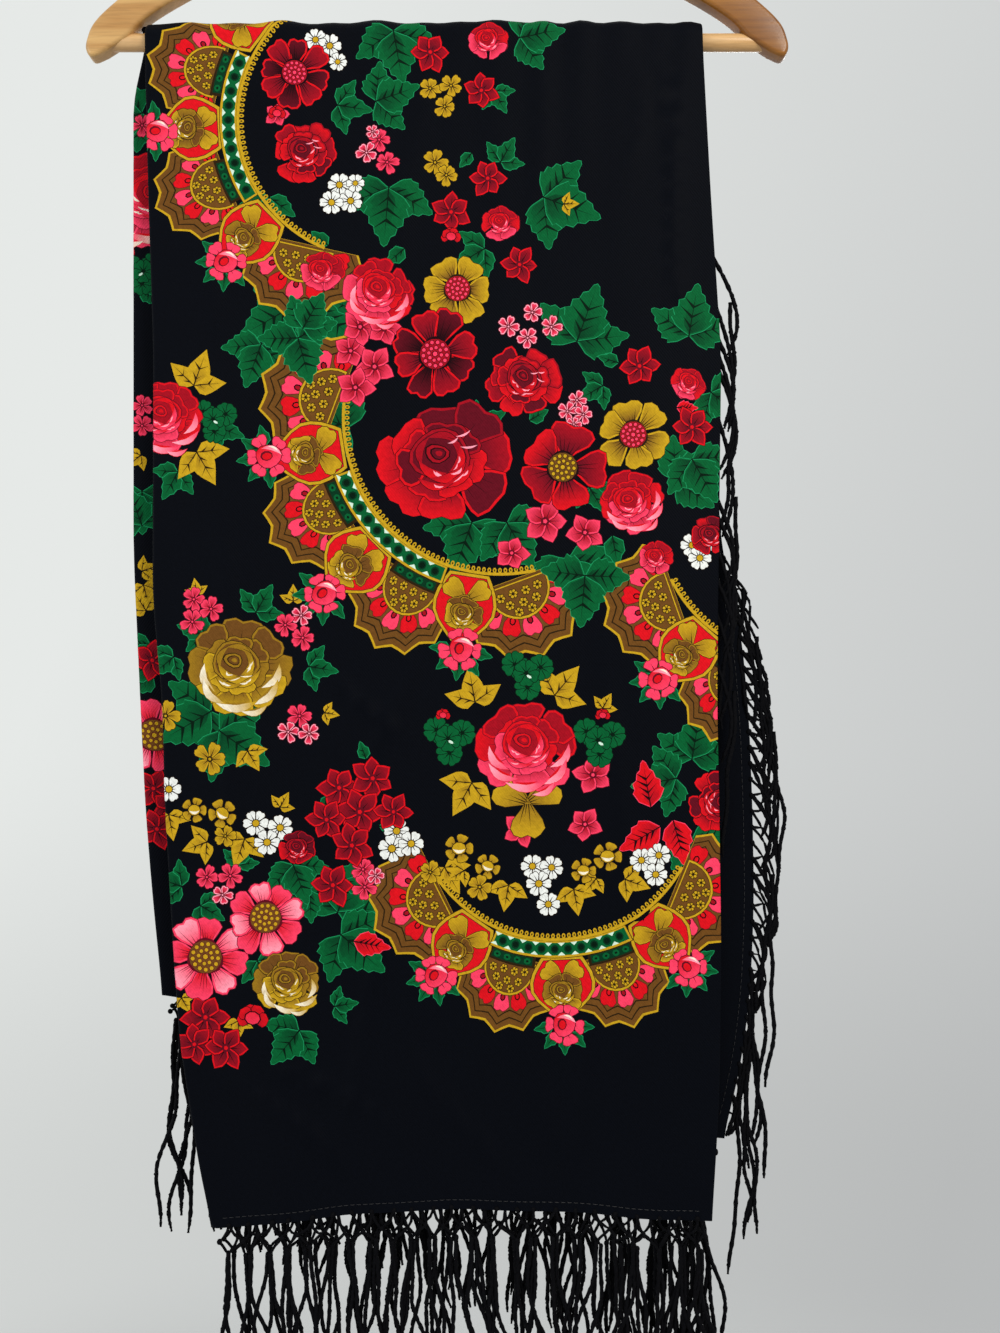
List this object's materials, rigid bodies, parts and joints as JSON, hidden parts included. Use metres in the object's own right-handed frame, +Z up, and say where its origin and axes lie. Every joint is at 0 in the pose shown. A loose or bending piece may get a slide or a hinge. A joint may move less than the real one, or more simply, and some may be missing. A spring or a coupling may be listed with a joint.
{
  "type": "floral shawl on a wooden hanger",
  "caption": "Fringed square wool shawl with a printed flower pattern, folded in four lengthwise and hung over the bar of a flat wooden hanger.",
  "frame": {"origin": "inner top of the hanger's hook, where it hangs on a rail", "axes": "+X to the right along the bar, +Y away from the front of the shawl, +Z up"},
  "size_m": [0.4487, 0.0276, 1.0758],
  "materials": {
    "printed_wool": "fine plain-weave wool, matt with a soft sheen, black ground printed with red, pink, gold and green flowers",
    "fringe_yarn": "twisted black yarn, slightly glossy, hand-knotted in a net",
    "hanger_wood": "pale clear-varnished wood, satin",
    "hook_metal": "bright plated steel wire"
  },
  "bodies": {
    "root": {"hanger_arm_right": "hanger_wood", "hanger_arm_left": "hanger_wood", "hanger_bar": "hanger_wood", "hanger_hook": "hook_metal", "hanger_ferrule": "hook_metal", "front_outer": "printed_wool", "front_core": "printed_wool", "back_outer": "printed_wool", "back_core": "printed_wool", "fringe_front_outer": "fringe_yarn", "fringe_front_inner": "fringe_yarn", "fringe_back_outer": "fringe_yarn", "fringe_back_inner": "fringe_yarn", "fringe_side_front": "fringe_yarn", "fringe_side_back": "fringe_yarn"}
  },
  "joints": []
}
